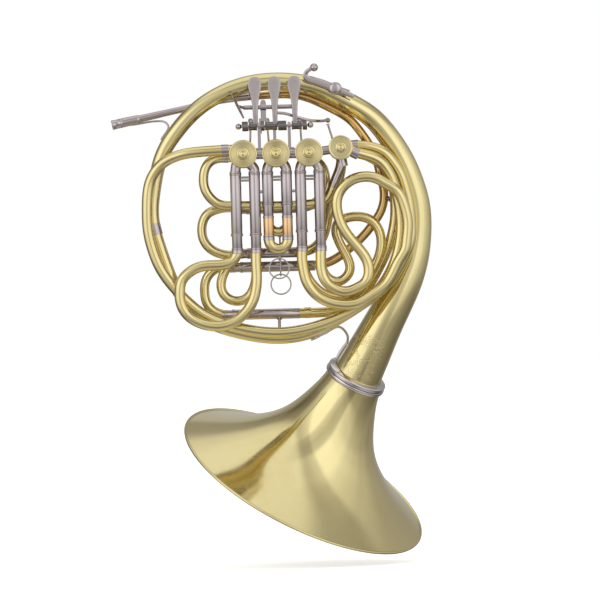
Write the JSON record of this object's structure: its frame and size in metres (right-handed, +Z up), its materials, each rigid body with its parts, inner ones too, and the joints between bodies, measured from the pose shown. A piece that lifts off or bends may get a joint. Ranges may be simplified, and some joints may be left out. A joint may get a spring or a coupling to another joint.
{
  "type": "french horn",
  "caption": "Double french horn with rotary valves, finger levers, pull-out tuning slides, coiled tubing and a screw-ring bell flare.",
  "frame": {"origin": "centre of the mouthpiece receiver's mouth", "axes": "+Z up, parallel to the valve slides and opposite to the way they pull; +Y from the valve caps to the rear of the valves; +X from the receiver towards the bell-tail side"},
  "size_m": [0.3732, 0.2936, 0.5769],
  "materials": {
    "lacquer": "clear-lacquered yellow brass, polished",
    "nickel": "polished nickel silver",
    "rose": "clear-lacquered rose brass",
    "rotor_metal": "bare turned bearing brass",
    "spring_steel": "blued spring steel",
    "bumper": "dark synthetic cork"
  },
  "bodies": {
    "horn": {"bell_flare": "lacquer", "bell_rim_wire": "lacquer", "bell_ring_tail": "nickel", "bell_ring_flare": "nickel", "bell_branch": "lacquer", "first_branch": "lacquer", "leadpipe": "rose", "mouthpiece_receiver": "nickel", "feed_tube": "lacquer", "return_tube": "lacquer", "change_tube": "lacquer", "f_tuning_tubes": "lacquer", "valve_casings": "lacquer", "change_casing": "lacquer", "rear_plates": "lacquer", "valve_caps": "lacquer", "change_cap": "lacquer", "knuckles": "nickel", "f_slide_sleeves": "nickel", "b_slide_sleeves": "nickel", "tuning_slide_sleeves": "nickel", "ferrules": "nickel", "slide_braces": "nickel", "coil_braces": "nickel", "bell_brace": "nickel", "lever_rod": "nickel", "lever_springs": "spring_steel", "lever_posts": "nickel", "thumb_bracket": "nickel", "stop_plates": "nickel", "stop_corks": "bumper", "hook_track": "nickel"},
    "valve_1": {"rotor_1": "rotor_metal", "stop_arm_1": "nickel"},
    "valve_2": {"rotor_2": "rotor_metal", "stop_arm_2": "nickel"},
    "valve_3": {"rotor_3": "rotor_metal", "stop_arm_3": "nickel"},
    "valve_4": {"rotor_4": "rotor_metal", "stop_arm_4": "nickel"},
    "lever_1_body": {"lever_1": "nickel"},
    "lever_2_body": {"lever_2": "nickel"},
    "lever_3_body": {"lever_3": "nickel"},
    "thumb_lever_body": {"thumb_lever": "nickel"},
    "link_1_body": {"link_1": "nickel"},
    "link_2_body": {"link_2": "nickel"},
    "link_3_body": {"link_3": "nickel"},
    "link_4_body": {"link_4": "nickel"},
    "f_slide_1_body": {"f_slide_1": "lacquer"},
    "b_slide_1_body": {"b_slide_1": "lacquer"},
    "f_slide_2_body": {"f_slide_2": "lacquer"},
    "b_slide_2_body": {"b_slide_2": "lacquer"},
    "f_slide_3_body": {"f_slide_3": "lacquer"},
    "b_slide_3_body": {"b_slide_3": "lacquer"},
    "main_slide_body": {"main_slide": "lacquer"},
    "f_tuning_slide_body": {"f_tuning_slide": "lacquer"},
    "pull_ring_front_body": {"pull_ring_front": "nickel"},
    "pull_ring_rear_body": {"pull_ring_rear": "nickel"},
    "finger_hook_body": {"finger_hook": "nickel"},
    "hook_screw_body": {"hook_screw": "nickel"}
  },
  "joints": [
    {"name": "lever_1_hinge", "type": "hinge", "parent": "horn", "child": "lever_1_body", "pos_m": [0.19836, -0.038, -0.00648], "axis": [-1, 0, 0], "range_deg": [0, 18], "stiffness_Nm_per_rad": 0.05, "springref_deg": -17.19},
    {"name": "lever_2_hinge", "type": "hinge", "parent": "horn", "child": "lever_2_body", "pos_m": [0.19836, -0.038, -0.00648], "axis": [-1, 0, 0], "range_deg": [0, 18], "stiffness_Nm_per_rad": 0.05, "springref_deg": -17.19},
    {"name": "lever_3_hinge", "type": "hinge", "parent": "horn", "child": "lever_3_body", "pos_m": [0.19836, -0.038, -0.00648], "axis": [-1, 0, 0], "range_deg": [0, 18], "stiffness_Nm_per_rad": 0.05, "springref_deg": -17.19},
    {"name": "thumb_lever_hinge", "type": "hinge", "parent": "horn", "child": "thumb_lever_body", "pos_m": [0.19836, -0.0275, 0.01582], "axis": [-1, 0, 0], "range_deg": [0, 18], "stiffness_Nm_per_rad": 0.05, "springref_deg": -17.19},
    {"name": "rotor_1_turn", "type": "hinge", "parent": "horn", "child": "valve_1", "pos_m": [0.15336, -0.026, -0.03898], "axis": [0, 1, 0], "range_deg": [0, 90]},
    {"name": "link_1_pin", "type": "hinge", "parent": "valve_1", "child": "link_1_body", "pos_m": [0.16114, 0.014, -0.0312], "axis": [0, -1, 0], "range_deg": [0, 90]},
    {"name": "rotor_2_turn", "type": "hinge", "parent": "horn", "child": "valve_2", "pos_m": [0.19176, -0.026, -0.03898], "axis": [0, -1, 0], "range_deg": [0, 90]},
    {"name": "link_2_pin", "type": "hinge", "parent": "valve_2", "child": "link_2_body", "pos_m": [0.18398, 0.014, -0.0312], "axis": [0, 1, 0], "range_deg": [0, 90]},
    {"name": "rotor_3_turn", "type": "hinge", "parent": "horn", "child": "valve_3", "pos_m": [0.23016, -0.026, -0.03898], "axis": [0, -1, 0], "range_deg": [0, 90]},
    {"name": "link_3_pin", "type": "hinge", "parent": "valve_3", "child": "link_3_body", "pos_m": [0.22238, 0.014, -0.0312], "axis": [0, 1, 0], "range_deg": [0, 90]},
    {"name": "rotor_4_turn", "type": "hinge", "parent": "horn", "child": "valve_4", "pos_m": [0.26746, -0.026, -0.03428], "axis": [0, -1, 0], "range_deg": [0, 90]},
    {"name": "link_4_pin", "type": "hinge", "parent": "valve_4", "child": "link_4_body", "pos_m": [0.25968, 0.014, -0.0265], "axis": [0, 1, 0], "range_deg": [0, 90]},
    {"name": "f_slide_1_pull", "type": "slide", "parent": "horn", "child": "f_slide_1_body", "axis": [0, 0, -1], "range_m": [0, 0.04]},
    {"name": "b_slide_1_pull", "type": "slide", "parent": "horn", "child": "b_slide_1_body", "axis": [0, 0, -1], "range_m": [0, 0.018]},
    {"name": "f_slide_2_pull", "type": "slide", "parent": "horn", "child": "f_slide_2_body", "axis": [0, 0, -1], "range_m": [0, 0.026]},
    {"name": "b_slide_2_pull", "type": "slide", "parent": "horn", "child": "b_slide_2_body", "axis": [0, 0, -1], "range_m": [0, 0.024]},
    {"name": "f_slide_3_pull", "type": "slide", "parent": "horn", "child": "f_slide_3_body", "axis": [0, 0, -1], "range_m": [0, 0.04]},
    {"name": "b_slide_3_pull", "type": "slide", "parent": "horn", "child": "b_slide_3_body", "axis": [0, 0, -1], "range_m": [0, 0.003]},
    {"name": "main_slide_pull", "type": "slide", "parent": "horn", "child": "main_slide_body", "axis": [-1, 0, 0], "range_m": [0, 0.035]},
    {"name": "f_tuning_slide_pull", "type": "slide", "parent": "horn", "child": "f_tuning_slide_body", "axis": [-1, 0, 0], "range_m": [0, 0.03]},
    {"name": "pull_ring_front_swing", "type": "hinge", "parent": "f_slide_2_body", "child": "pull_ring_front_body", "pos_m": [0.19206, -0.041, -0.16182], "axis": [1, 0, 0], "range_deg": [-35, 20]},
    {"name": "pull_ring_rear_swing", "type": "hinge", "parent": "b_slide_2_body", "child": "pull_ring_rear_body", "pos_m": [0.19356, -0.012, -0.18017], "axis": [1, 0, 0], "range_deg": [-20, 8]},
    {"name": "finger_hook_slide", "type": "slide", "parent": "horn", "child": "finger_hook_body", "axis": [0.9321, 0, -0.3622], "range_m": [-0.008, 0.008]},
    {"name": "hook_screw_turn", "type": "hinge", "parent": "horn", "child": "hook_screw_body", "pos_m": [0.26293, -0.0275, 0.03552], "axis": [0, -1, 0], "continuous": true}
  ],
  "couplings": [
    {"joint": "rotor_1_turn", "follows": "lever_1_hinge", "ratio": 5},
    {"joint": "link_1_pin", "follows": "lever_1_hinge", "ratio": 5},
    {"joint": "rotor_2_turn", "follows": "lever_2_hinge", "ratio": 5},
    {"joint": "link_2_pin", "follows": "lever_2_hinge", "ratio": 5},
    {"joint": "rotor_3_turn", "follows": "lever_3_hinge", "ratio": 5},
    {"joint": "link_3_pin", "follows": "lever_3_hinge", "ratio": 5},
    {"joint": "rotor_4_turn", "follows": "thumb_lever_hinge", "ratio": 5},
    {"joint": "link_4_pin", "follows": "thumb_lever_hinge", "ratio": 5}
  ]
}
